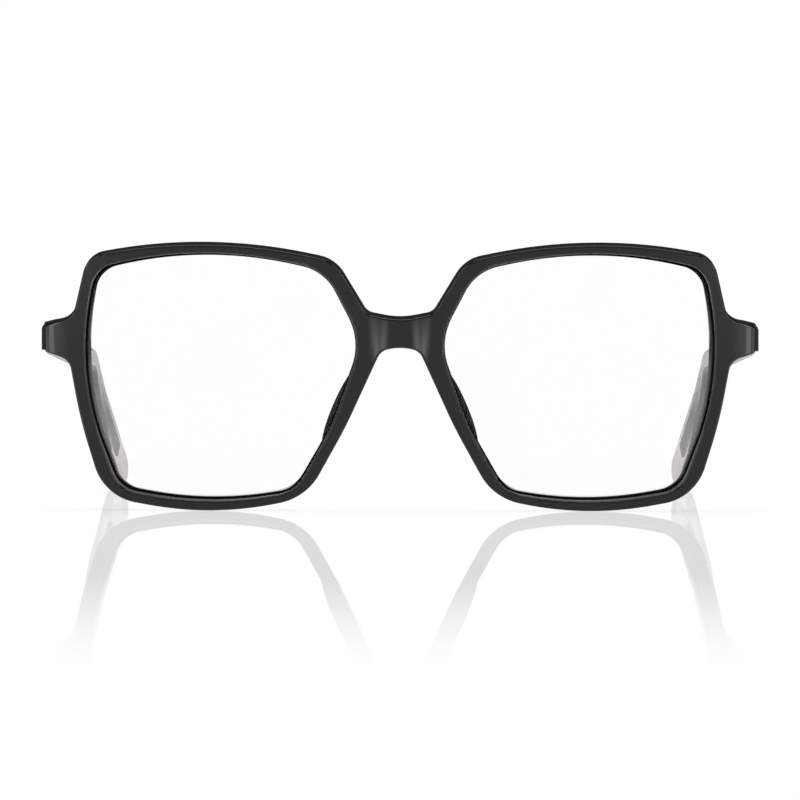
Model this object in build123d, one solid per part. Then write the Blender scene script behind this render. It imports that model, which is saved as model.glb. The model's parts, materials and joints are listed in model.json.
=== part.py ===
from build123d import *
import os
from math import asin, cos, degrees, radians, sin, tan

os.makedirs("parts", exist_ok=True)

# Square eyeglasses in glossy acetate. They stand open on a table, on the two rims and
# the two temple tips. X is across the face, Y runs back along the temples, Z is up.
# All lengths are in millimetres and all angles in degrees.

# Front, seen square on: across from the middle of the bridge, up from the lowest rim
bridge_between_lenses = 17.0
eye_width = 54.1
eye_height = 50.2
rim_edge = 1.7
rim_side = 2.5
front_thickness = 4.3
edge_round = 0.45
back_round = 0.35
front_tilt = 11.0

# Corners of one lens opening: share of its width, share of its height and share of the
# shorter side beside the corner that its arc takes, from the top
eye_top_share = (0.555, 1.038, 0.80)
eye_brow_share = (0.116, 0.930, 0.29)
eye_nose_share = (-0.0176, 0.645, 0.34)
eye_nose_side_share = (0.094, 0.297, 0.24)
eye_nose_foot_share = (0.229, 0.036, 0.22)
eye_foot_share = (0.536, -0.025, 0.77)
eye_cheek_share = (0.882, 0.036, 0.24)
eye_cheek_side_share = (0.974, 0.318, 0.32)
eye_side_share = (1.0185, 0.637, 0.70)
eye_temple_share = (0.961, 0.936, 0.25)

# The opening narrows towards the back, most beside the temple: lean of its wall there
# and the share of its height at which it keeps its place
eye_wall_lean = 16.0
eye_hold_share = 0.33

# How far the rim's own corners stand beyond those of the opening: share of the side
# rim, share of the top and bottom rim, and share of the shorter side that the arc takes
rim_brow_share = (-0.79, 1.02, 0.27)
rim_top_share = (0.0, 1.0, 0.85)
rim_temple_share = (0.62, 1.15, 0.25)
rim_cheek_side_share = (1.07, 0.0, 0.45)
rim_cheek_share = (1.22, -0.88, 0.39)
rim_foot_share = (-0.04, -1.20, 0.68)
rim_nose_foot_share = (-0.88, -0.70, 0.33)
rim_nose_side_share = (-1.10, 0.0, 0.22)

# Saddle bridge between the rims, at the corners of its top and of its underside
bridge_height = 5.35
bridge_rise = 33.0
bridge_top_width = 13.0
bridge_top_lift = 1.15
bridge_under_width = 7.6
bridge_under_drop = 0.8
bridge_top_share = 0.18
bridge_top_middle_share = 0.45
bridge_under_share = 0.39
bridge_under_middle_share = 0.50

# End pieces, which carry the hinges
end_length = 9.0
end_front_inset = 1.1
end_height = 5.15
end_root_height = 8.35
end_root_flare = 0.8
end_rise = 33.95
end_root_top_share = 0.38
end_root_under_share = 0.32
end_corner_round = 0.7
end_side_angle = 12.0

# Face form of the front, seen from above
bridge_face_radius = 30.0
bridge_face_angle = 8.0
bridge_flank_radius = 25.0
lens_lean = 2.6
lens_face_radius = 330.0
end_face_radius = 15.2

# Lug behind each end piece, which meets the temple
lug_height = 5.9
lug_width = 9.35
lug_back = 10.2
lug_round = 0.8
butt_gap = 0.15

# Lens, with its bevelled edge in the groove of the rim
lens_thickness = 1.6
lens_setback = 1.0
lens_bevel = 0.7
lens_reach = 0.5
lens_fit = 0.05

# Nose pads, bonded behind the rims
pad_length = 23.0
pad_width = 2.4
pad_depth = 5.0
pad_flare = 1.4
pad_across_share = 0.052
pad_rise_share = 0.315
pad_slant = 22.0
pad_round = 0.5

# Sections of a pad: share of its depth, of its length and of its width
pad_section_shares = [(0.0, 1.0, 1.0), (0.55, 0.94, 1.2), (1.0, 0.66, 0.8)]

# Five-barrel hinge, one leaf in the lug and one in the temple
hinge_inset = 6.65
hinge_back = 12.2
hinge_height = 4.2
barrel_radius = 1.45
barrel_count = 5
barrel_gap = 0.05
web_width = 2.0
front_plate_width = 4.6
front_plate_thickness = 0.8
anchor_length = 3.2
anchor_width = 1.8
anchor_height = 2.2
anchor_teeth = 3
anchor_tooth_depth = 0.3
temple_plate_length = 11.0
temple_plate_thickness = 1.0
temple_plate_height = 3.6
seat_fit = 0.03

# Hinge screw
screw_radius = 0.65
screw_head_radius = 1.05
screw_head_height = 0.5
screw_sink = 0.45
screw_slot_width = 0.3
screw_slot_depth = 0.2
screw_fit = 0.04

# Temples, seen from the side and from above
temple_thickness = 3.8
temple_bow = 1.1
bend_back = 114.0
bar_fall = 4.4
bar_thinning = 0.8
drop_angle = 41.0
tip_height = 10.0
tip_round = 4.2
bend_height = 6.6
bend_top_radius = 28.0
bend_under_radius = 22.0
lean_back = 119.0
lean_angle = 10.9
lean_radius = 60.0
temple_round = 1.1

# Wire cast into each temple
core_thickness = 1.4
core_start = 24.0
core_bar_depth = 1.2
core_bar_height = 2.4
core_drop_depth = 1.1
core_drop_height = 3.6
core_end_gap = 9.4

# One overrun serves every cut and every trimmed blank
overrun = 8.0


def eye_corner(share, depth):
    """Return a corner of the right lens opening at a depth, as across, up and share."""
    lean = tan(radians(eye_wall_lean))
    wide = eye_width + (eye_side_back - eye_middle_back) * lean
    grow = 1 + (eye_middle_back - depth) * lean / eye_width
    across = bridge_between_lenses / 2 + share[0] * wide * grow
    up = eye_hold_share + (share[1] - eye_hold_share) * grow
    return across, rim_edge + up * eye_height, share[2]


def rim_corner(share, beyond):
    """Return the rim's corner that stands beyond a corner of the lens opening."""
    across = bridge_between_lenses / 2 + share[0] * eye_width + beyond[0] * rim_side
    return across, share[1] * eye_height + (1 + beyond[1]) * rim_edge, beyond[2]


def rounded_face(corners):
    """Return a closed face through corners given as across, up and radius."""
    points = [(across, up) for across, up, _ in corners]
    radii = [radius for _, _, radius in corners]
    return make_face(FilletPolyline(*points, radius=radii, close=True))


def shared_face(corners):
    """Return a closed face whose arcs each take a share of the shorter side beside them."""
    points = [Vector(across, up) for across, up, _ in corners]
    rounded = []
    for index, (across, up, share) in enumerate(corners):
        before = points[index] - points[index - 1]
        after = points[(index + 1) % len(points)] - points[index]
        room = min(before.length, after.length)
        radius = share * room / tan(radians(before.get_angle(after) / 2))
        rounded.append((across, up, radius))
    return rounded_face(rounded)


def block(low, high):
    """Return a box between its lowest and its highest corner."""
    size = [b - a for a, b in zip(low, high)]
    middle = [(a + b) / 2 for a, b in zip(low, high)]
    return Pos(*middle) * Box(*size)


def eye_face(depth):
    """Return the face of the right lens opening at a depth behind the front."""
    shares = [
        eye_top_share,
        eye_brow_share,
        eye_nose_share,
        eye_nose_side_share,
        eye_nose_foot_share,
        eye_foot_share,
        eye_cheek_share,
        eye_cheek_side_share,
        eye_side_share,
        eye_temple_share,
    ]
    return shared_face([eye_corner(share, depth) for share in shares])


def eye_hole(beyond):
    """Return the right lens opening right through the front, grown by a distance."""
    faces = []
    for depth in (-overrun / 2, 2 * overrun):
        face = eye_face(depth)
        if beyond:
            face = offset(face, beyond, kind=Kind.ARC)
        faces.append(Pos(0, depth, 0) * (Plane.XZ * face))
    return loft(faces, ruled=True)


def outline_face():
    """Return the face of the whole front, both halves in one outline."""
    top = bridge_rise + bridge_height
    right = [
        (bridge_top_width / 2, top + bridge_top_lift, bridge_top_share),
        rim_corner(eye_brow_share, rim_brow_share),
        rim_corner(eye_top_share, rim_top_share),
        rim_corner(eye_temple_share, rim_temple_share),
        (root, end_rise + end_root_height / 2, end_root_top_share),
        (end_reach, end_rise + end_height / 2, 0),
        (end_reach, end_rise - end_height / 2, 0),
        (root + end_root_flare, end_rise - end_root_height / 2, end_root_under_share),
        rim_corner(eye_cheek_side_share, rim_cheek_side_share),
        rim_corner(eye_cheek_share, rim_cheek_share),
        rim_corner(eye_foot_share, rim_foot_share),
        rim_corner(eye_nose_foot_share, rim_nose_foot_share),
        rim_corner(eye_nose_side_share, rim_nose_side_share),
        (bridge_under_width / 2, bridge_rise - bridge_under_drop, bridge_under_share),
    ]
    left = [(-across, up, share) for across, up, share in reversed(right)]
    under_middle = (0, bridge_rise, bridge_under_middle_share)
    top_middle = (0, top, bridge_top_middle_share)
    return shared_face(right + [under_middle] + left + [top_middle])


def face_form(depth):
    """Return the front's curve seen from above, at a depth behind its front face."""
    turn = bridge_face_angle + lens_lean
    middle = JernArc((0, depth), (1, 0), bridge_face_radius - depth, bridge_face_angle)
    flank = JernArc(middle @ 1, middle % 1, bridge_flank_radius + depth, -turn)
    lens = JernArc(flank @ 1, flank % 1, lens_face_radius - depth, lens_face_angle)
    end = JernArc(lens @ 1, lens % 1, end_face_radius - depth, end_face_angle)
    return [middle, flank, lens, end]


def curved_slab():
    """Return the front's curved slab, with the flared sides of the end pieces."""
    ahead = face_form(0)
    behind = face_form(front_thickness)
    corner = ahead[-1] @ 1
    back = (behind[-1] @ 1).Y
    side = (corner.X + (back - corner.Y) * tan(radians(end_side_angle)), back)
    edges = ahead + behind
    edges.append(Line(ahead[0] @ 0, behind[0] @ 0))
    edges.append(Line(corner, side))
    edges.append(Line(side, behind[-1] @ 1))
    plan = make_face(Wire(Curve() + edges))
    tall = rim_edge + eye_height + 2 * overrun
    right = Pos(0, 0, -overrun) * extrude(plan, tall, dir=(0, 0, 1))
    return right + mirror(right, Plane.YZ)


def prism(face):
    """Return a face of the front's plane carried right through the front."""
    return Pos(0, -overrun, 0) * extrude(Plane.XZ * face, 4 * overrun, dir=(0, 1, 0))


def boundary(faces):
    """Return the edges round a patch of faces, without those inside it."""
    every = [edge for face in faces for edge in face.edges()]
    return [edge for edge in every if sum(edge == other for other in every) == 1]


def ball(middle, lean, depth):
    """Return a ball whose surface passes a depth behind a point of the front face."""
    back = lens_face_radius
    centre = (middle.X - back * sin(lean), middle.Y + back * cos(lean), eye_middle_rise)
    return Pos(*centre) * Sphere(lens_face_radius - depth)


def lens_blank(fit):
    """Return the right lens with its bevelled edge, grown all round by a fit."""
    form = face_form(0)[2]
    share = (eye_middle_across - (form @ 0).X) / ((form @ 1).X - (form @ 0).X)
    middle = form @ share
    lean = asin((form % share).Y)
    outer = ball(middle, lean, lens_setback - fit)
    inner = ball(middle, lean, lens_setback + lens_thickness + fit)
    blank = (eye_hole(lens_reach - lens_fit + fit) & outer) - inner
    faces = blank.faces().sort_by(SortBy.AREA)[-2:]
    return chamfer([e for face in faces for e in face.edges()], lens_bevel)


def front_plate():
    """Return the curved plate of the front, rounded and grooved, before its tilt."""
    plate = prism(outline_face()) & curved_slab()
    eye = eye_hole(0)
    plate = plate - eye - mirror(eye, Plane.YZ)
    facing = cos(radians(45))
    tips = [e for e in plate.edges() if abs((e @ 0.5).X) > end_corner.X and abs((e % 0.5).Y) > facing]
    plate = fillet(tips, end_corner_round)
    plate = fillet(boundary(plate.faces().filter_by(lambda f: f.normal_at().Y < -facing)), edge_round)
    plate = fillet(boundary(plate.faces().filter_by(lambda f: f.normal_at().Y > facing)), back_round)
    groove = lens_blank(lens_fit)
    return plate - groove - mirror(groove, Plane.YZ)


def nose_pad(front):
    """Return the right nose pad, seated on the back of the rim, before its tilt."""
    slant = radians(pad_slant)
    across = bridge_between_lenses / 2 + pad_across_share * eye_width
    up = rim_edge + pad_rise_share * eye_height
    sections = []
    for depth, length, width in pad_section_shares:
        place = (across + depth * pad_flare, front_thickness + depth * pad_depth, up)
        plane = Plane(place, x_dir=(sin(slant), 0, -cos(slant)), z_dir=(0, 1, 0))
        sections.append(plane * Ellipse(length * pad_length / 2, width * pad_width / 2))
    pad = loft(sections)
    end = pad.faces().sort_by(Axis.Y)[-1]
    pad = fillet(end.edges(), pad_round)
    return (pad - front).solids().sort_by(SortBy.VOLUME)[-1]


def lug():
    """Return the lug behind the right end piece, up to the face that meets the temple."""
    low = hinge_rise - lug_height / 2
    plan = Polyline(
        (lug_inner, lug_start),
        (lug_inner, lug_back),
        (temple_reach, lug_back),
        (temple_reach - (lug_back - lug_start) * tan(radians(end_side_angle)), lug_start),
        close=True,
    )
    solid = Pos(0, 0, low) * extrude(make_face(plan), lug_height, dir=(0, 0, 1))
    along = solid.edges().filter_by(lambda e: abs((e % 0.5).Y) > cos(radians(45)))
    return fillet(along, lug_round)


def barrel(low, tall, radius):
    """Return an upright cylinder on the hinge axis."""
    return Pos(hinge_across, hinge_back, low + tall / 2) * Cylinder(radius, tall)


def barrel_span(index):
    """Return the foot and the height of one barrel, counted from the lowest."""
    tall = (hinge_height - (barrel_count - 1) * barrel_gap) / barrel_count
    return hinge_rise - hinge_height / 2 + index * (tall + barrel_gap), tall


def screw_bore():
    """Return the hole for the screw and its head, with their running fit."""
    foot = hinge_rise - hinge_height / 2
    hole = barrel(foot, hinge_height, screw_radius + screw_fit)
    sink = barrel(foot + hinge_height - screw_sink, overrun, screw_head_radius + screw_fit)
    return hole + sink


def front_leaf_root(fit):
    """Return the plate and anchor of the front leaf, grown all round by a fit."""
    wide = front_plate_width / 2 + fit
    tall = hinge_height / 2 + fit
    near = lug_back - front_plate_thickness
    plate = block(
        (hinge_across - wide, near - fit, hinge_rise - tall),
        (hinge_across + wide, lug_back, hinge_rise + tall),
    )
    wide = anchor_width / 2 + fit
    tall = anchor_height / 2 + fit
    anchor = block(
        (hinge_across - wide, near - anchor_length - fit, hinge_rise - tall),
        (hinge_across + wide, lug_back, hinge_rise + tall),
    )
    return plate + anchor


def front_leaf():
    """Return the right front leaf: plate, toothed anchor and the outer barrels."""
    leaf = front_leaf_root(0)
    near = lug_back - front_plate_thickness
    for index in range(anchor_teeth):
        back = near - anchor_length * (index + 0.5) / anchor_teeth
        for side in (-1, 1):
            notch = Rot(0, 90, 0) * Cylinder(anchor_tooth_depth, front_plate_width)
            leaf = leaf - Pos(hinge_across, back, hinge_rise + side * anchor_height / 2) * notch
    for index in range(0, barrel_count, 2):
        low, tall = barrel_span(index)
        web = block(
            (hinge_across - web_width / 2, near, low),
            (hinge_across + web_width / 2, hinge_back, low + tall),
        )
        leaf = leaf + web + barrel(low, tall, barrel_radius)
    return leaf - screw_bore()


def temple_leaf_root(fit):
    """Return the plate of the temple leaf, grown all round by a fit."""
    tall = temple_plate_height / 2 + fit
    start = hinge_back - web_width / 2
    plate = block(
        (temple_inner - fit, start - fit, hinge_rise - tall),
        (temple_inner + temple_plate_thickness + fit, start + temple_plate_length + fit, hinge_rise + tall),
    )
    ends = plate.edges().filter_by(Axis.X).sort_by(Axis.Y)[-2:]
    return fillet(ends, temple_plate_height / 3)


def temple_leaf():
    """Return the right temple leaf: plate and the inner barrels."""
    leaf = temple_leaf_root(0)
    for index in range(1, barrel_count, 2):
        low, tall = barrel_span(index)
        web = block(
            (hinge_across, hinge_back - web_width / 2, low),
            (temple_inner + temple_plate_thickness / 2, hinge_back + web_width / 2, low + tall),
        )
        leaf = leaf + web + barrel(low, tall, barrel_radius)
    return leaf - screw_bore()


def hinge_screw():
    """Return the right hinge screw with its slotted head."""
    foot = hinge_rise - hinge_height / 2
    seat = foot + hinge_height - screw_sink
    top = seat + screw_head_height
    screw = barrel(foot, seat - foot, screw_radius) + barrel(seat, screw_head_height, screw_head_radius)
    slot = block(
        (hinge_across - screw_head_radius, hinge_back - screw_slot_width / 2, top - screw_slot_depth),
        (hinge_across + screw_head_radius, hinge_back + screw_slot_width / 2, top),
    )
    return screw - slot


def drop_point(along, under):
    """Return a point of the temple's drop: along its top edge and square under it."""
    drop = radians(drop_angle)
    back = bend_back + along * cos(drop) - under * sin(drop)
    return back, bar_top - bar_fall - along * sin(drop) - under * cos(drop)


def bend_point(down, under):
    """Return where a line below the bar's top meets a line under the drop's top edge."""
    drop = radians(drop_angle)
    beyond = (down - under / cos(drop)) / (tan(drop) - bar_slope)
    return bend_back + beyond, bar_top - bar_fall - down - beyond * bar_slope


def temple_side_face():
    """Return the temple seen from the side."""
    start = lug_back + butt_gap
    return rounded_face([
        (start, bar_top, 0),
        (bend_back, bar_top - bar_fall, bend_top_radius),
        (*drop_point(drop_length, 0), tip_round),
        (*drop_point(drop_length, tip_height), tip_round),
        (*bend_point(lug_height - bar_thinning, bend_height), bend_under_radius),
        (start, bar_top - lug_height, 0),
    ])


def core_side_face():
    """Return the cast-in wire seen from the side."""
    under = core_bar_depth + core_bar_height
    far = core_drop_depth + core_drop_height
    end = drop_length - core_end_gap
    top = bar_top - (core_start - lug_back - butt_gap) * bar_slope
    return rounded_face([
        (core_start, top - core_bar_depth, 0),
        (*bend_point(core_bar_depth, core_drop_depth), bend_top_radius),
        (*drop_point(end, core_drop_depth), 0),
        (*drop_point(end, far), 0),
        (*bend_point(under, far), bend_under_radius),
        (core_start, top - under, 0),
    ])


def temple_strip(side_face, inset, wide):
    """Return a side view carried across a strip of the temple seen from above."""
    lean = radians(lean_angle)
    far = drop_point(drop_length, 0)[0] + overrun
    lines = []
    for off in (inset, inset + wide):
        across = temple_inner + temple_bow + off
        back = lean_back + off * tan(lean / 2)
        lines.append([
            (temple_inner + off, 0, 0),
            (across, back, lean_radius),
            (across - (far - back) * tan(lean), far, 0),
        ])
    plan = rounded_face(lines[0] + lines[1][::-1])
    tall = bar_top - floor + 2 * overrun
    upright = Pos(0, 0, floor - overrun) * extrude(plan, tall, dir=(0, 0, 1))
    return extrude(Plane.YZ * side_face, temple_reach + overrun, dir=(1, 0, 0)) & upright


def temple_body():
    """Return the right temple, hollowed for its leaf and its wire."""
    body = temple_strip(temple_side_face(), 0, temple_thickness)
    facing = cos(radians(45))
    sides = body.faces().filter_by(lambda f: abs(f.normal_at().X) > facing)
    start = lug_back + butt_gap
    edges = [e for e in boundary(sides) if (e @ 0.5).Y > start + seat_fit]
    body = fillet(edges, temple_round)
    return body - temple_leaf_root(seat_fit) - core_wire()


def core_wire():
    """Return the wire cast into the right temple."""
    inset = (temple_thickness - core_thickness) / 2
    return temple_strip(core_side_face(), inset, core_thickness)


# Places that follow from the sizes above
eye_middle_across = bridge_between_lenses / 2 + eye_width / 2
eye_middle_rise = rim_edge + eye_height / 2
root = bridge_between_lenses / 2 + eye_width + rim_side
end_reach = bridge_between_lenses / 2 + eye_width + end_length
flank = radians(bridge_face_angle)
lean = radians(lens_lean)
lens_start = bridge_face_radius * sin(flank) + bridge_flank_radius * (sin(flank) + sin(lean))
lens_turn = asin((root + end_root_flare - lens_start) / lens_face_radius - sin(lean))
end_span = end_reach - end_front_inset - root - end_root_flare
end_turn = asin(sin(lens_turn) + end_span / end_face_radius)
lens_face_angle = lens_lean + degrees(lens_turn)
end_face_angle = degrees(end_turn - lens_turn)
eye_side_back = (face_form(0)[2] @ 1).Y
eye_middle_back = (face_form(0)[2] @ 0.5).Y
tilt = Pos(0, 0, eye_middle_rise) * Rot(front_tilt, 0, 0) * Pos(0, 0, -eye_middle_rise)
end_corner = face_form(0)[-1] @ 1
end_front = (tilt * Pos(0, end_corner.Y, end_rise)).position
hinge_rise = end_front.Z
lug_start = end_front.Y + front_thickness / 2
temple_reach = end_corner.X + (lug_back - end_front.Y) * tan(radians(end_side_angle))
temple_inner = temple_reach - temple_thickness
hinge_across = temple_reach - hinge_inset
lug_inner = temple_reach - lug_width
bar_top = hinge_rise + lug_height / 2
bar_slope = bar_fall / (bend_back - lug_back - butt_gap)

# The front
plate = front_plate()
front = tilt * plate + lug() + mirror(lug(), Plane.YZ)
pocket = front_leaf_root(seat_fit)
front = front - pocket - mirror(pocket, Plane.YZ)
floor = front.bounding_box().min.Z

# The drop is as long as it takes for the rounded tip to reach the floor
drop = radians(drop_angle)
drop_length = tip_round + (
    bar_top - bar_fall - floor - tip_round - (tip_height - tip_round) * cos(drop)
) / sin(drop)
drop_length = drop_length + (temple_side_face().bounding_box().min.Y - floor) / sin(drop)

right = {
    "lens": tilt * lens_blank(0),
    "nose_pad": tilt * nose_pad(plate),
    "front_hinge_leaf": front_leaf(),
    "temple_hinge_leaf": temple_leaf(),
    "hinge_screw": hinge_screw(),
    "temple": temple_body(),
    "core_wire": core_wire(),
}

# Every piece is set down with the middle of the whole at the origin
ahead = front.bounding_box().min.Y
behind = right["temple"].bounding_box().max.Y
seat = Pos(0, -(ahead + behind) / 2, -floor)
export_step(seat * front, "parts/front_frame.step")
for name, piece in right.items():
    export_step(seat * piece, "parts/" + name + "_right.step")
    export_step(mirror(seat * piece, Plane.YZ), "parts/" + name + "_left.step")

hinge = (seat * Pos(hinge_across, hinge_back, hinge_rise)).position
print("hinge axis at", hinge, "depth of the whole", behind - ahead)
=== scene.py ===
"""Dresses the square eyeglasses: polished black front, clear lenses and temples, metal parts."""

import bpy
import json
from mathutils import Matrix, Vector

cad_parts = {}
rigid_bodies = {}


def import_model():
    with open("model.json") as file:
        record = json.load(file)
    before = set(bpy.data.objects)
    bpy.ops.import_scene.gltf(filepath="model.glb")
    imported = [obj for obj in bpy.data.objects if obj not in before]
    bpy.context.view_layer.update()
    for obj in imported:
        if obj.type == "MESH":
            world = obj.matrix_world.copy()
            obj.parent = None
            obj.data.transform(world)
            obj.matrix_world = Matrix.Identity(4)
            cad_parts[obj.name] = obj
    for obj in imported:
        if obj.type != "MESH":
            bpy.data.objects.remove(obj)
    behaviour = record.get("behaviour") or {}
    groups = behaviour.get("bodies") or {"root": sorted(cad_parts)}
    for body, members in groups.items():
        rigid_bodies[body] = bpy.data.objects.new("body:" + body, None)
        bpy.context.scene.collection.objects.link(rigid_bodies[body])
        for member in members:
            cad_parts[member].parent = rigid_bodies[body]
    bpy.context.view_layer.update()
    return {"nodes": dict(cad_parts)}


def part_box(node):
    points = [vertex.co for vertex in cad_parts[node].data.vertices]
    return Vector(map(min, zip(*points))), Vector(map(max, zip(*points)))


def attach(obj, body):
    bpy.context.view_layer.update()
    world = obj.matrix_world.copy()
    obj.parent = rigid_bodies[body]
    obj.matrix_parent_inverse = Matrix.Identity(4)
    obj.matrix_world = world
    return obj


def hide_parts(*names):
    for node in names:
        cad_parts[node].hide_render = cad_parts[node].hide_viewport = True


bl_info = {
    "name": "Square Eyeglasses",
    "version": (1, 0, 0),
    "blender": (4, 5, 0),
    "location": "View3D > Sidebar > Eyeglasses",
    "description": "Finishes and stage for a pair of square acetate eyeglasses",
    "category": "Object",
}

import json
from math import radians

import bpy
from bpy.props import FloatProperty, FloatVectorProperty, PointerProperty
from mathutils import Matrix, Vector

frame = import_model()
SIDES = ("left", "right")
WHITE = (1.0, 1.0, 1.0, 1.0)


# Shader maths


class Wire:
    """A value inside a material, which takes part in Python sums."""

    def __init__(self, board, socket):
        self.board = board
        self.socket = socket

    def math(self, operation, *others):
        """Return the value after one step of shader maths."""
        return self.board.node("ShaderNodeMath", {"operation": operation}, self, *others)

    def __add__(self, other):
        return self.math("ADD", other)

    def __sub__(self, other):
        return self.math("SUBTRACT", other)

    def __mul__(self, other):
        return self.math("MULTIPLY", other)

    def __radd__(self, other):
        return self.math("ADD", other)

    def __rmul__(self, other):
        return self.math("MULTIPLY", other)

    def __rsub__(self, other):
        return self.board.node("ShaderNodeMath", {"operation": "SUBTRACT"}, other, self)

    def __abs__(self):
        return self.math("ABSOLUTE")

    def rise(self, low, high):
        """Return 0 below low, 1 above high and a smooth rise between them."""
        settings = {"interpolation_type": "SMOOTHSTEP"}
        return self.board.node("ShaderNodeMapRange", settings, self, low, high)


class Board:
    """The node tree of one material or of the world."""

    def __init__(self, tree):
        self.tree = tree
        tree.nodes.clear()

    def node(self, kind, settings, *values, take=0, **named):
        """Add a node, fill its sockets by order or by name and return one of its outputs."""
        node = self.tree.nodes.new(kind)
        for name, value in settings.items():
            setattr(node, name, value)
        for key, value in enumerate(values):
            self.fill(node.inputs[key], value)
        for key, value in named.items():
            self.fill(node.inputs[key.replace("_", " ")], value)
        return Wire(self, node.outputs[take])

    def fill(self, socket, value):
        """Link a wire to a socket, or set the socket to a plain value."""
        if isinstance(value, Wire):
            self.tree.links.new(value.socket, socket)
        else:
            socket.default_value = value

    def place(self, longer=(1.0, 1.0, 1.0), turn=(0.0, 0.0, 0.0)):
        """Return the place on the object, for a pattern made longer on turned axes."""
        coords = self.node("ShaderNodeTexCoord", {}, take="Object")
        settings = {"vector_type": "TEXTURE"}
        return self.node("ShaderNodeMapping", settings, coords, Scale=longer, Rotation=turn)

    def noise(self, size, detail=2.0, **placing):
        """Return a soft random pattern whose patches are about a size across."""
        where = self.place(**placing)
        return self.node(
            "ShaderNodeTexNoise", {}, Vector=where, Scale=1.0 / size, Detail=detail
        )

    def axis(self, name):
        """Return one coordinate of the place on the object."""
        return self.node("ShaderNodeSeparateXYZ", {}, self.place(), take=name)

    def facing(self, name):
        """Return one part of the direction in which the surface faces."""
        normal = self.node("ShaderNodeNewGeometry", {}, take="Normal")
        return self.node("ShaderNodeSeparateXYZ", {}, normal, take=name)

    def blend(self, share, first, second):
        """Return a colour between two colours."""
        node = self.tree.nodes.new("ShaderNodeMix")
        node.data_type = "RGBA"
        for key, value in ((0, share), (6, first), (7, second)):
            self.fill(node.inputs[key], value)
        return Wire(self, node.outputs[2])

    def bump(self, height, depth=1.0):
        """Return the surface normal for a height in metres, or for a pattern of a depth."""
        return self.node("ShaderNodeBump", {}, Strength=1.0, Distance=depth, Height=height)

    def ray(self, name):
        """Return 1 for one kind of light ray and 0 for the others."""
        return self.node("ShaderNodeLightPath", {}, take=name)

    def see_through_shadow(self, shader, share):
        """Return a shader whose shadow lets a share of the light through."""
        clear = self.node("ShaderNodeBsdfTransparent", {})
        lets_through = self.ray("Is Shadow Ray") * share
        return self.node("ShaderNodeMixShader", {}, lets_through, shader, clear)

    def surface(self, shader, kind="ShaderNodeOutputMaterial"):
        """Join a shader to the tree's output."""
        output = self.tree.nodes.new(kind)
        self.fill(output.inputs[0], shader)


def new_material(name):
    """Return a new material and the board of its nodes."""
    material = bpy.data.materials.new(name)
    material.use_nodes = True
    return material, Board(material.node_tree)


def rgba(colour):
    """Return a colour with full cover."""
    return (*colour, 1.0)


def darker(colour, share):
    """Return a colour at a share of its brightness."""
    return (*(part * share for part in colour), 1.0)


# Sizes and colours that a user may change


class AcetateSettings(bpy.types.PropertyGroup):
    """Colours and finish of the black and the clear acetate."""

    black: FloatVectorProperty(
        name="Black",
        description="Colour of the front",
        subtype="COLOR",
        default=(0.0042, 0.004, 0.0044),
        min=0.0,
        max=1.0,
    )
    clear: FloatVectorProperty(
        name="Clear",
        description="Tint of the clear temples",
        subtype="COLOR",
        default=(0.58, 0.55, 0.535),
        min=0.0,
        max=1.0,
    )
    polish: FloatProperty(
        name="Polish",
        description="Roughness of the freshly polished acetate",
        default=0.05,
        min=0.0,
        max=1.0,
        subtype="FACTOR",
    )
    ripple: FloatProperty(
        name="Ripple",
        description="Depth of the soft waves that hand polishing leaves",
        default=0.000004,
        min=0.0,
        unit="LENGTH",
        precision=6,
    )
    bow_start: FloatProperty(
        name="Start of the bow",
        description="From the middle to the place where the polished ends start to bow",
        default=0.0665,
        unit="LENGTH",
        precision=5,
    )
    bow: FloatProperty(
        name="Bow",
        description="How strongly the polished ends bow",
        default=7.0,
        min=0.0,
    )


class PadSettings(bpy.types.PropertyGroup):
    """Trim and finish of the nose pads."""

    turn: FloatProperty(
        name="Turn",
        description="How far a pad turns about the top of its seat, with its foot outwards",
        default=radians(1.0),
        subtype="ANGLE",
    )
    size: FloatProperty(
        name="Size",
        description="Share of the size of the solid pad that is kept, from the top of its seat",
        default=0.81,
        min=0.5,
        max=1.0,
        subtype="FACTOR",
    )
    black: FloatVectorProperty(
        name="Black",
        description="Colour of the nose pads",
        subtype="COLOR",
        default=(0.004, 0.004, 0.0044),
        min=0.0,
        max=1.0,
    )
    matt: FloatProperty(
        name="Matt",
        description="Share of the surface of the pads that has no sheen",
        default=0.9,
        min=0.0,
        max=1.0,
        subtype="FACTOR",
    )


class LensSettings(bpy.types.PropertyGroup):
    """Tint and finish of the lenses, and the near-black colour painted on their ground edges."""

    tint: FloatVectorProperty(
        name="Tint",
        description="Tint of the lenses",
        subtype="COLOR",
        default=(0.985, 0.99, 0.99),
        min=0.0,
        max=1.0,
    )
    # Painted dark: the ground edge is coloured near black to stand in for the black rim seen
    # through the bevel.
    edge: FloatVectorProperty(
        name="Edge",
        description="Colour of the ground edge, which shows the black rim behind it",
        subtype="COLOR",
        default=(0.004, 0.004, 0.0045),
        min=0.0,
        max=1.0,
    )
    ground_edge: FloatProperty(
        name="Ground edge",
        description="Roughness of the bevel that is ground round each lens",
        default=0.35,
        min=0.0,
        max=1.0,
        subtype="FACTOR",
    )


class MetalSettings(bpy.types.PropertyGroup):
    """Colours of the metal parts."""

    core: FloatVectorProperty(
        name="Core wire",
        description="Colour of the wires inside the temples",
        subtype="COLOR",
        default=(0.39, 0.39, 0.4),
        min=0.0,
        max=1.0,
    )
    hinge: FloatVectorProperty(
        name="Hinge",
        description="Colour of the hinge leaves",
        subtype="COLOR",
        default=(0.72, 0.71, 0.68),
        min=0.0,
        max=1.0,
    )
    screw: FloatVectorProperty(
        name="Screw",
        description="Colour of the hinge screws",
        subtype="COLOR",
        default=(0.58, 0.58, 0.6),
        min=0.0,
        max=1.0,
    )


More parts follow.
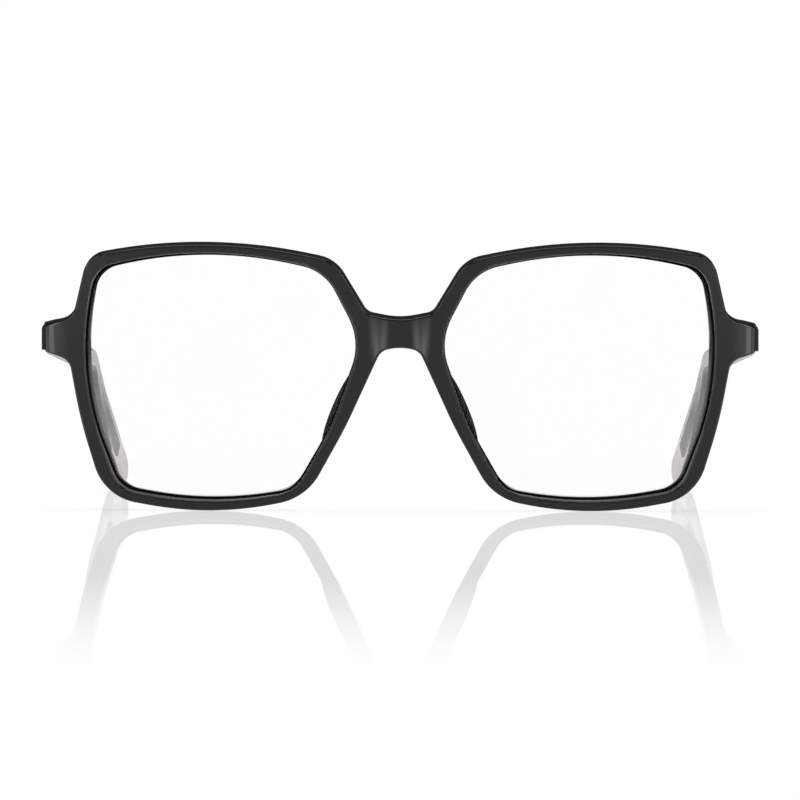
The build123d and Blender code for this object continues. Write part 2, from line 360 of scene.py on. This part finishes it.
class StageSettings(bpy.types.PropertyGroup):
    """Camera and table top."""

    distance: FloatProperty(
        name="Camera distance",
        description="From the camera to the front of the eyeglasses",
        default=0.70,
        min=0.1,
        unit="LENGTH",
    )
    height: FloatProperty(
        name="Camera height",
        description="Height of the camera above the table",
        default=0.02583,
        min=0.0,
        unit="LENGTH",
    )
    focal: FloatProperty(
        name="Focal length",
        description="Focal length on a sensor 36 mm wide",
        default=158.76,
        min=10.0,
        unit="CAMERA",
    )
    tip: FloatProperty(
        name="Downward angle",
        description="How far the camera looks down",
        default=radians(0.297),
        subtype="ANGLE",
    )
    roll: FloatProperty(
        name="Roll",
        description="How far the camera leans to its left",
        default=radians(0.12),
        subtype="ANGLE",
    )
    table: FloatVectorProperty(
        name="Table",
        description="Colour of the table top",
        subtype="COLOR",
        default=(0.93, 0.93, 0.93),
        min=0.0,
        max=1.0,
    )
    mirror: FloatProperty(
        name="Table mirror",
        description="Share of light that the polished table top reflects",
        default=0.3,
        min=0.0,
        max=1.0,
        subtype="FACTOR",
    )


# Finishes, with the sizes and depths of their patterns in metres

CLOUD = 0.011
POLISH_SMEAR = 0.004
POLISH_WAVE = 0.0045
HAIRLINE = 0.00022
HAIRLINE_STRETCH = (30.0, 1.0, 2.0)
HAIRLINE_TURN = (0.0, 0.5, 0.2)
PAD_CLOUD = 0.003
SCUFF = 0.0007
SCUFF_DEPTH = 0.000003
FLOW_LINE = 0.0016
FLOW_STRETCH = (1.0, 14.0, 1.0)
CLEAR_SMEAR = 0.005
SMUDGE = 0.012
WIRE_STREAK = 0.00018
WIRE_STREAK_DEPTH = 0.00001
WIRE_STREAK_STRETCH = (1.0, 60.0, 1.0)
HINGE_MOTTLE = 0.0012
NICK = 0.00015
NICK_DEPTH = 0.00001
NICK_STRETCH = (1.0, 6.0, 1.0)
SCREW_MOTTLE = 0.0008
SCREW_RING = 0.00008
SCREW_RING_DEPTH = 0.00001
SCREW_RING_STRETCH = (40.0, 40.0, 1.0)

# Where the wires bend down with the temples, and by which angle
WIRE_BEND = (0.040, 0.050)
WIRE_DROP = radians(-41.0)

# The clear pieces bend light less than real ones, so that what is behind them stays calm.
ACETATE_IOR = 1.49
GROUND_LENS_IOR = 1.5
CLEAR_IOR = 1.2


def polished_black():
    """Return hand-polished black acetate with soft waves and hairlines."""
    looks = bpy.context.scene.eyeglasses_acetate
    material, board = new_material("Polished black acetate")
    cloud = board.noise(CLOUD, detail=3.0)
    smear = board.noise(POLISH_SMEAR, longer=(1.0, 1.0, 3.0)).rise(0.5, 0.75)
    hair = board.noise(HAIRLINE, longer=HAIRLINE_STRETCH, turn=HAIRLINE_TURN).rise(0.69, 0.74)
    waves = board.noise(POLISH_WAVE, detail=1.0) * looks.ripple
    end = (abs(board.axis("X")) - looks.bow_start).math("MAXIMUM", 0.0)
    shader = board.node(
        "ShaderNodeBsdfPrincipled",
        {},
        Base_Color=board.blend(cloud, rgba(looks.black), darker(looks.black, 1.7)),
        Roughness=looks.polish + smear * 0.05 + hair * 0.1,
        IOR=ACETATE_IOR,
        Normal=board.bump(waves - end * end * looks.bow),
    )
    board.surface(shader)
    return material


def tumbled_black():
    """Return black acetate that was tumbled and left matt, with soft scuffs."""
    looks = bpy.context.scene.eyeglasses_pads
    material, board = new_material("Tumbled black acetate")
    cloud = board.noise(PAD_CLOUD, detail=3.0)
    scuffs = board.noise(SCUFF, detail=3.0)
    normal = board.bump(scuffs, SCUFF_DEPTH)
    colour = board.blend(cloud, rgba(looks.black), darker(looks.black, 1.8))
    matt = board.node(
        "ShaderNodeBsdfPrincipled",
        {},
        Base_Color=colour,
        Roughness=1.0,
        Specular_IOR_Level=0.0,
        Normal=normal,
    )
    sheen = board.node(
        "ShaderNodeBsdfPrincipled",
        {},
        Base_Color=colour,
        Roughness=0.35 + scuffs * 0.2,
        IOR=ACETATE_IOR,
        Normal=normal,
    )
    board.surface(board.node("ShaderNodeMixShader", {}, looks.matt, sheen, matt))
    return material


def clear_acetate():
    """Return clear acetate, polished outside, with faint flow lines."""
    looks = bpy.context.scene.eyeglasses_acetate
    material, board = new_material("Clear acetate")
    flow = board.noise(FLOW_LINE, longer=FLOW_STRETCH)
    smear = board.noise(CLEAR_SMEAR).rise(0.5, 0.8)
    shader = board.node(
        "ShaderNodeBsdfPrincipled",
        {},
        Base_Color=board.blend(flow, rgba(looks.clear), darker(looks.clear, 0.97)),
        Roughness=0.16 + smear * 0.06,
        IOR=CLEAR_IOR,
        Transmission_Weight=1.0,
        Normal=board.bump(flow, looks.ripple),
    )
    board.surface(board.see_through_shadow(shader, share=0.85))
    return material


def clear_lens():
    """Return a clear lens with faint smudges, and a ground bevel painted near black to stand in
    for the black rim seen through it.
    """
    looks = bpy.context.scene.eyeglasses_lens
    material, board = new_material("Clear lens")
    bevel = 1.0 - abs(board.facing("Y")).rise(0.8, 0.9)
    smudge = board.noise(SMUDGE, detail=4.0).rise(0.56, 0.8)
    glass = board.node(
        "ShaderNodeBsdfPrincipled",
        {},
        Base_Color=board.blend(smudge, rgba(looks.tint), darker(looks.tint, 0.99)),
        Roughness=0.0,
        IOR=CLEAR_IOR,
        Transmission_Weight=1.0,
    )
    # Painted dark: the bevel is an opaque near-black shader, standing in for the black rim that
    # shows through a ground lens edge.
    ground = board.node(
        "ShaderNodeBsdfPrincipled",
        {},
        Base_Color=board.blend(smudge, rgba(looks.edge), darker(looks.edge, 1.5)),
        Roughness=looks.ground_edge,
        IOR=GROUND_LENS_IOR,
    )
    shader = board.node("ShaderNodeMixShader", {}, bevel, glass, ground)
    board.surface(board.see_through_shadow(shader, share=0.92))
    return material


def drawn_wire():
    """Return the drawn metal of the core wires, with streaks along their length."""
    colour = bpy.context.scene.eyeglasses_metal.core
    material, board = new_material("Drawn core wire")
    drawn = {"detail": 3.0, "longer": WIRE_STREAK_STRETCH}
    along_bar = board.noise(WIRE_STREAK, **drawn)
    along_drop = board.noise(WIRE_STREAK, turn=(WIRE_DROP, 0.0, 0.0), **drawn)
    bent = board.axis("Y").rise(*WIRE_BEND)
    streaks = along_bar * (1.0 - bent) + along_drop * bent
    shader = board.node(
        "ShaderNodeBsdfPrincipled",
        {},
        Base_Color=board.blend(streaks, darker(colour, 0.75), darker(colour, 1.2)),
        Metallic=1.0,
        Roughness=0.3 + streaks * 0.25,
        Normal=board.bump(streaks, WIRE_STREAK_DEPTH),
    )
    board.surface(shader)
    return material


def hinge_metal():
    """Return nickel silver, tumbled bright, with small nicks."""
    colour = bpy.context.scene.eyeglasses_metal.hinge
    material, board = new_material("Nickel silver")
    mottle = board.noise(HINGE_MOTTLE, detail=3.0)
    nicks = board.noise(NICK, longer=NICK_STRETCH).rise(0.62, 0.7)
    shader = board.node(
        "ShaderNodeBsdfPrincipled",
        {},
        Base_Color=board.blend(mottle, rgba(colour), darker(colour, 0.8)),
        Metallic=1.0,
        Roughness=0.16 + mottle * 0.1 + nicks * 0.15,
        Normal=board.bump(nicks, NICK_DEPTH),
    )
    board.surface(shader)
    return material


def screw_steel():
    """Return turned steel with fine rings round the screw."""
    colour = bpy.context.scene.eyeglasses_metal.screw
    material, board = new_material("Turned steel")
    rings = board.noise(SCREW_RING, longer=SCREW_RING_STRETCH)
    mottle = board.noise(SCREW_MOTTLE, detail=3.0)
    shader = board.node(
        "ShaderNodeBsdfPrincipled",
        {},
        Base_Color=board.blend(mottle, rgba(colour), darker(colour, 0.75)),
        Metallic=1.0,
        Roughness=0.2 + rings * 0.2,
        Normal=board.bump(rings, SCREW_RING_DEPTH),
    )
    board.surface(shader)
    return material


def dress(material, *nodes):
    """Give CAD nodes a finish."""
    for name in nodes:
        for slot in frame["nodes"][name].material_slots:
            slot.material = material


# Pieces

# Points of a copied mesh that lie nearer to each other than this are merged.
MERGE = 0.0000002

# Faces of a nose pad that meet at a smaller angle than this look smooth.
SMOOTH_ANGLE = radians(30.0)

# The outer skin of a temple has at least this many points.
LEAST_SKIN = 100


def copy_of(node, name):
    """Return a selected copy of a CAD node, with its own mesh and a name."""
    bpy.ops.object.select_all(action="DESELECT")
    piece = bpy.data.objects.new(name, frame["nodes"][node].data.copy())
    bpy.context.scene.collection.objects.link(piece)
    piece.select_set(True)
    bpy.context.view_layer.objects.active = piece
    return piece


class EYEGLASSES_OT_front(bpy.types.Operator):
    """Finish the front in polished black acetate"""

    bl_idname = "eyeglasses.front"
    bl_label = "Front"

    def execute(self, context):
        dress(polished_black(), "front_frame")
        return {"FINISHED"}


class EYEGLASSES_OT_nose_pads(bpy.types.Operator):
    """Trim copies of the nose pads, so that their feet stay behind the rims"""

    bl_idname = "eyeglasses.nose_pads"
    bl_label = "Nose pads"

    def execute(self, context):
        looks = context.scene.eyeglasses_pads
        material = tumbled_black()
        for side, sign in zip(SIDES, (-1.0, 1.0)):
            low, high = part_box(f"nose_pad_{side}")
            top = Vector(((low.x + high.x) / 2.0, low.y, high.z))
            pad = copy_of(f"nose_pad_{side}", f"trimmed_pad_{side}")
            bpy.ops.object.mode_set(mode="EDIT")
            bpy.ops.mesh.select_all(action="SELECT")
            bpy.ops.mesh.remove_doubles(threshold=MERGE)
            bpy.ops.transform.resize(value=[looks.size] * 3, center_override=top)
            bpy.ops.transform.rotate(value=sign * looks.turn, orient_axis="Y", center_override=top)
            bpy.ops.object.mode_set(mode="OBJECT")
            bpy.ops.object.shade_smooth_by_angle(angle=SMOOTH_ANGLE)
            foot = min((vertex.co for vertex in pad.data.vertices), key=lambda place: place.z)
            if foot.z < low.z:
                raise RuntimeError("the foot of a nose pad hangs below its place")
            pad.material_slots[0].material = material
            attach(pad, "front")
            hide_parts(f"nose_pad_{side}")
        return {"FINISHED"}


class EYEGLASSES_OT_lenses(bpy.types.Operator):
    """Finish the lenses"""

    bl_idname = "eyeglasses.lenses"
    bl_label = "Lenses"

    def execute(self, context):
        dress(clear_lens(), *[f"lens_{side}" for side in SIDES])
        return {"FINISHED"}


class EYEGLASSES_OT_temples(bpy.types.Operator):
    """Cast each temple round its wire, as one clear piece with no gap at the wire"""

    bl_idname = "eyeglasses.temples"
    bl_label = "Clear temples"

    def execute(self, context):
        material = clear_acetate()
        for side in SIDES:
            temple = copy_of(f"temple_{side}", f"temple_cast_{side}")
            self.keep_outer_skin(temple)
            temple.material_slots[0].material = material
            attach(temple, f"temple_arm_{side}")
            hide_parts(f"temple_{side}")
        return {"FINISHED"}

    def keep_outer_skin(self, temple):
        """Remove the walls of the hollow that holds the wire."""
        mesh = temple.data
        bpy.ops.object.mode_set(mode="EDIT")
        bpy.ops.mesh.select_mode(type="VERT")
        bpy.ops.mesh.select_all(action="SELECT")
        bpy.ops.mesh.remove_doubles(threshold=MERGE)
        bpy.ops.mesh.select_all(action="DESELECT")
        bpy.ops.object.mode_set(mode="OBJECT")
        front = min(mesh.vertices, key=lambda vertex: vertex.co.y)
        front.select = True
        bpy.ops.object.mode_set(mode="EDIT")
        bpy.ops.mesh.select_linked()
        bpy.ops.mesh.select_all(action="INVERT")
        bpy.ops.mesh.delete(type="VERT")
        bpy.ops.object.mode_set(mode="OBJECT")
        if len(mesh.vertices) < LEAST_SKIN:
            raise RuntimeError("the outer skin of a temple was lost")


class EYEGLASSES_OT_core_wires(bpy.types.Operator):
    """Finish the wires inside the temples"""

    bl_idname = "eyeglasses.core_wires"
    bl_label = "Core wires"

    def execute(self, context):
        dress(drawn_wire(), *[f"core_wire_{side}" for side in SIDES])
        return {"FINISHED"}


class EYEGLASSES_OT_hinges(bpy.types.Operator):
    """Finish the hinge leaves and their screws"""

    bl_idname = "eyeglasses.hinges"
    bl_label = "Hinges"

    def execute(self, context):
        metal = hinge_metal()
        steel = screw_steel()
        for side in SIDES:
            dress(metal, f"front_hinge_leaf_{side}", f"temple_hinge_leaf_{side}")
            dress(steel, f"hinge_screw_{side}")
        return {"FINISHED"}


# Stage

TABLE_SIZE = 9.0
TABLE_GRAIN = 0.02

# The table top lies this far under the eyeglasses, so that no faces touch.
TABLE_DROP = 0.00002

# Painted light: bright sides glowing on the table top, which only rough reflections show and which
# put highlights on the ends of the front: where they start and where they end, from the middle
# outwards, and how bright they are
SIDE_START = (0.08, 0.15)
SIDE_END = (0.3, 0.5)
SIDE_GLOW = 1.4

# Painted light: two glowing strips on the table top, seen only in the same reflections, which put
# highlights on the bridge
STRIP_ACROSS = 0.0245
STRIP_BACK = -0.14
STRIP_HALF_WIDTH = 0.0085
STRIP_HALF_LENGTH = 0.045
STRIP_GLOW = 5.0

# Painted shade: how much darker the rest of the table top glows in the same reflections
TABLE_SHADE = 0.68

# Share of the table top's own light at the middle, and where it grows to all of it
MIDDLE_GLOW = 0.72
GLOW_REACH = (0.12, 0.5)

# Where the mirror of the table top fades, from the middle outwards
MIRROR_REACH = (0.28, 0.47)

# Name, place, size and power in watts of each lamp, and the place that they all face
LAMPS = (
    ("Ceiling lamp", (0.0, -0.15, 0.95), (0.9, 0.7), 4.0),
    ("Left strip lamp", (-0.7, -0.55, 0.35), (0.14, 0.7), 1.6),
    ("Right strip lamp", (0.7, -0.55, 0.35), (0.14, 0.7), 1.6),
)
LAMP_AIM = Vector((0.0, -0.04, 0.02))

# Brightness of the walls in rough reflections: at the sides, more behind the camera, and more
# behind the eyeglasses for light that has passed a clear piece
SIDE_WALLS = 0.04
CAMERA_WALL = 0.3
FAR_WALL = 0.8

# How much darker the top of the room is through a clear piece
TOP_SHADE = 0.6

# Brightness of the room through a clear piece in a rough reflection
CLEAR_IN_GLOSS = 0.5

# Brightness of the room for all light that isn't seen, reflected or let through
ROOM_LIGHT = 0.65

# Width of the camera's sensor in millimetres, and the nearest place that it sees
SENSOR = 36.0
NEAREST = 0.01

# The camera's distance is measured to a plane this far behind the foremost point of the front.
FACE_DEPTH = 0.00472


class EYEGLASSES_OT_stage(bpy.types.Operator):
    """Set up the table, the lamps, the surroundings and the camera"""

    bl_idname = "eyeglasses.stage"
    bl_label = "Stage"

    def execute(self, context):
        looks = context.scene.eyeglasses_stage
        self.add_table(looks)
        for lamp in LAMPS:
            self.add_lamp(*lamp)
        self.add_surroundings(context)
        self.add_camera(context, looks)
        context.scene.view_settings.view_transform = "Standard"
        return {"FINISHED"}

    def add_table(self, looks):
        """Add the white table top, polished so that it shows the eyeglasses faintly, with painted
        light and shade that only rough reflections show.
        """
        bpy.ops.object.select_all(action="DESELECT")
        bpy.ops.mesh.primitive_plane_add(size=TABLE_SIZE, location=(0.0, 0.0, -TABLE_DROP))
        table = bpy.context.object
        table.name = "table_top"
        material, board = new_material("White table top")
        seen = 1.0 - board.ray("Is Diffuse Ray")
        reach = board.node("ShaderNodeVectorMath", {"operation": "LENGTH"}, board.place(), take=1)
        across, back = abs(board.axis("X")), board.axis("Y")
        # Painted light and shade on the table top, seen only in rough reflections: glowing sides
        # and strips, and a darker rest
        sides = across.rise(*SIDE_START) * (1.0 - across.rise(*SIDE_END)) * SIDE_GLOW
        strips = 1.0 - abs(across - STRIP_ACROSS).rise(0.0, STRIP_HALF_WIDTH)
        strips = strips * (1.0 - abs(back - STRIP_BACK).rise(0.0, STRIP_HALF_LENGTH))
        bounced = board.ray("Is Glossy Ray") * (1.0 - board.ray("Is Transmission Ray"))
        bounced = bounced * (1.0 - board.ray("Is Singular Ray"))
        painted_reflection_light = (sides + strips * STRIP_GLOW - TABLE_SHADE) * bounced
        grain = board.noise(TABLE_GRAIN).rise(0.3, 0.7)
        colour = board.blend(grain, rgba(looks.table), darker(looks.table, 0.99))
        matt = board.node("ShaderNodeBsdfDiffuse", {}, Color=colour)
        glow = board.node("ShaderNodeEmission", {}, Color=WHITE, Strength=1.0 + painted_reflection_light)
        share = seen * (MIDDLE_GLOW + reach.rise(*GLOW_REACH) * (1.0 - MIDDLE_GLOW))
        white = board.node("ShaderNodeMixShader", {}, share, matt, glow)
        mirror = board.node("ShaderNodeBsdfGlossy", {}, Color=WHITE, Roughness=0.0)
        share = (1.0 - reach.rise(*MIRROR_REACH)) * looks.mirror
        board.surface(board.node("ShaderNodeMixShader", {}, share, white, mirror))
        table.data.materials.append(material)

    def add_lamp(self, name, place, size, power):
        """Add a soft lamp that faces the eyeglasses."""
        bpy.ops.object.light_add(type="AREA", location=place)
        lamp = bpy.context.object
        lamp.name = name
        lamp.data.shape = "RECTANGLE"
        lamp.data.size, lamp.data.size_y = size
        lamp.data.energy = power
        toward = LAMP_AIM - Vector(place)
        lamp.rotation_euler = toward.to_track_quat("-Z", "Y").to_euler()
        lamp.visible_camera = False

    def add_surroundings(self, context):
        """Light the room: white where the camera looks, darker walls in rough reflections."""
        world = bpy.data.worlds.new("Studio")
        world.use_nodes = True
        context.scene.world = world
        board = Board(world.node_tree)
        direction = board.node("ShaderNodeTexCoord", {}, take="Generated")
        ahead = board.node("ShaderNodeSeparateXYZ", {}, direction, take="Y")
        up = board.node("ShaderNodeSeparateXYZ", {}, direction, take="Z")
        camera = board.ray("Is Camera Ray")
        through = board.ray("Is Transmission Ray")
        sharp = board.ray("Is Singular Ray")
        turned = board.ray("Glossy Depth").rise(0.0, 1.0) * (1.0 - sharp)
        gloss = board.ray("Is Glossy Ray") * (1.0 - through)
        rest = (1.0 - camera) * (1.0 - through) * (1.0 - gloss)
        passed = board.ray("Transmission Depth").rise(0.0, 1.0)
        behind_camera = (0.0 - ahead).rise(0.1, 0.7) * CAMERA_WALL
        far = passed * ahead.rise(0.2, 0.8) * FAR_WALL
        walls = sharp + (1.0 - sharp) * (SIDE_WALLS + behind_camera + far)
        backdrop = (1.0 - up.rise(0.3, 0.8) * TOP_SHADE) * (1.0 - turned)
        straight_on = ahead.rise(0.9, 0.98) * (1.0 - CLEAR_IN_GLOSS)
        backdrop = backdrop + turned * (CLEAR_IN_GLOSS + straight_on)
        strength = camera + through * backdrop + gloss * walls + rest * ROOM_LIGHT
        light = board.node("ShaderNodeBackground", {}, Color=WHITE, Strength=strength)
        board.surface(light, "ShaderNodeOutputWorld")

    def add_camera(self, context, looks):
        """Add the camera, low in front of the eyeglasses."""
        data = bpy.data.cameras.new("Camera")
        camera = bpy.data.objects.new("Camera", data)
        context.scene.collection.objects.link(camera)
        data.sensor_width = SENSOR
        data.lens = looks.focal
        data.clip_start = NEAREST
        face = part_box("front_frame")[0].y + FACE_DEPTH
        upright = Matrix.Rotation(radians(90.0) - looks.tip, 4, "X")
        place = Matrix.Translation((0.0, face - looks.distance, looks.height))
        camera.matrix_world = place @ upright @ Matrix.Rotation(looks.roll, 4, "Z")
        context.scene.camera = camera


class EYEGLASSES_PT_panel(bpy.types.Panel):
    """Buttons for the pieces and the stage"""

    bl_idname = "EYEGLASSES_PT_panel"
    bl_label = "Eyeglasses"
    bl_space_type = "VIEW_3D"
    bl_region_type = "UI"
    bl_category = "Eyeglasses"

    def draw(self, context):
        for operator in OPERATORS:
            self.layout.operator(operator.bl_idname)
        for name in SETTINGS:
            settings = getattr(context.scene, name)
            box = self.layout.box()
            for key in settings.__annotations__:
                box.prop(settings, key)


OPERATORS = (
    EYEGLASSES_OT_front,
    EYEGLASSES_OT_nose_pads,
    EYEGLASSES_OT_lenses,
    EYEGLASSES_OT_temples,
    EYEGLASSES_OT_core_wires,
    EYEGLASSES_OT_hinges,
    EYEGLASSES_OT_stage,
)

SETTINGS = {
    "eyeglasses_acetate": AcetateSettings,
    "eyeglasses_pads": PadSettings,
    "eyeglasses_lens": LensSettings,
    "eyeglasses_metal": MetalSettings,
    "eyeglasses_stage": StageSettings,
}


def register():
    """Register the settings, the operators and the panel."""
    for name, group in SETTINGS.items():
        bpy.utils.register_class(group)
        setattr(bpy.types.Scene, name, PointerProperty(type=group))
    for operator in OPERATORS:
        bpy.utils.register_class(operator)
    bpy.utils.register_class(EYEGLASSES_PT_panel)


def unregister():
    """Take back what register set up."""
    bpy.utils.unregister_class(EYEGLASSES_PT_panel)
    for operator in reversed(OPERATORS):
        bpy.utils.unregister_class(operator)
    for name, group in SETTINGS.items():
        delattr(bpy.types.Scene, name)
        bpy.utils.unregister_class(group)


def main():
    """Dress every piece and set the stage."""
    register()
    bpy.ops.eyeglasses.front()
    bpy.ops.eyeglasses.nose_pads()
    bpy.ops.eyeglasses.lenses()
    bpy.ops.eyeglasses.temples()
    bpy.ops.eyeglasses.core_wires()
    bpy.ops.eyeglasses.hinges()
    bpy.ops.eyeglasses.stage()


if __name__ == "__main__":
    main()
